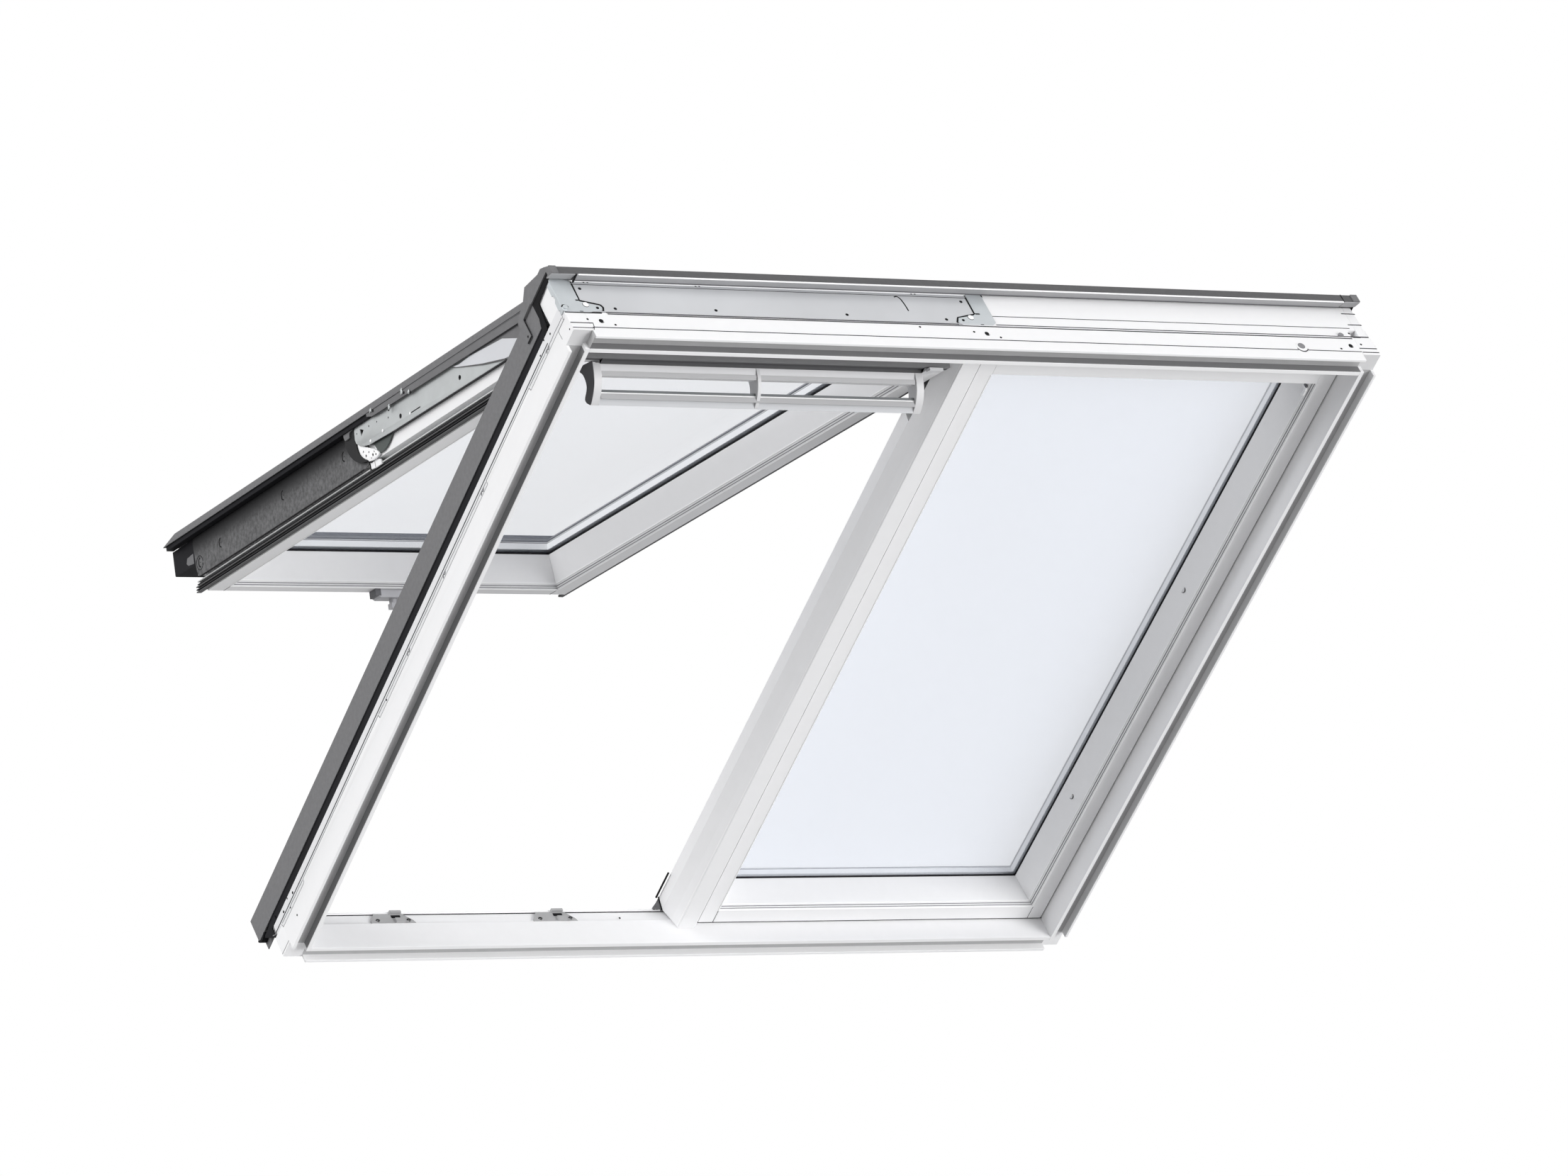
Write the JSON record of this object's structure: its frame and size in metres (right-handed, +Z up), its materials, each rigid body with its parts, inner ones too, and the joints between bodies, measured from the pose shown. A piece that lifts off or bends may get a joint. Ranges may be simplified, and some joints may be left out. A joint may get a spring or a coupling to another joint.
{
  "type": "roof window",
  "caption": "Two-bay pitched roof window with one top-hung sash standing open and one fixed pane, in a white timber frame with dark outer cladding.",
  "frame": {"origin": "middle of the lower outer side of the sill, 30 mm outward from the room-side rim", "axes": "+X to the right seen from inside the room, +Y horizontally outward, +Z up; the window lies at a 45 degree roof pitch that rises towards -Y"},
  "size_m": [1.28, 1.2376, 0.9281],
  "materials": {
    "white": "satin white lacquer over timber",
    "rail": "satin",
    "cladding": "matt dark grey coating",
    "apron": "matt black",
    "plate": "satin rolled sheet",
    "bracket": "zinc-plated satin",
    "catch": "zinc-plated satin",
    "board": "mottled dark grey",
    "glass": "clear double glazing",
    "gasket": "matt black",
    "lock": "satin",
    "flap": "satin white",
    "bar": "satin"
  },
  "bodies": {
    "root": {"frame_sill": "white", "frame_head": "white", "jamb_left": "white", "jamb_right": "white", "mullion": "white", "fixed_stile_left": "white", "fixed_stile_right": "white", "fixed_rail_top": "white", "fixed_rail_bottom": "white", "sash_stile_left": "white", "sash_stile_right": "white", "sash_rail_top": "white", "sash_rail_bottom": "white", "rail_left": "rail", "rail_right": "rail", "side_cladding_left": "cladding", "side_cladding_right": "cladding", "head_hood": "cladding", "hood_side_left": "cladding", "hood_side_right": "cladding", "mullion_cover": "cladding", "fixed_cover": "cladding", "sash_cover": "cladding", "sill_apron": "apron", "sash_apron": "apron", "hinge_plate": "plate", "bracket_left": "bracket", "bracket_right": "bracket", "lift_arm_left": "bracket", "lift_arm_right": "bracket", "catch_left": "catch", "catch_right": "catch", "side_board_left": "board", "side_board_right": "board", "fixed_glass": "glass", "sash_glass": "glass", "fixed_gasket": "gasket", "sash_gasket": "gasket", "sash_lock": "lock", "vent_flap": "flap", "control_bar": "bar", "bar_bracket_left": "bar", "bar_bracket_mid": "bar", "bar_bracket_right": "bar"}
  },
  "joints": []
}
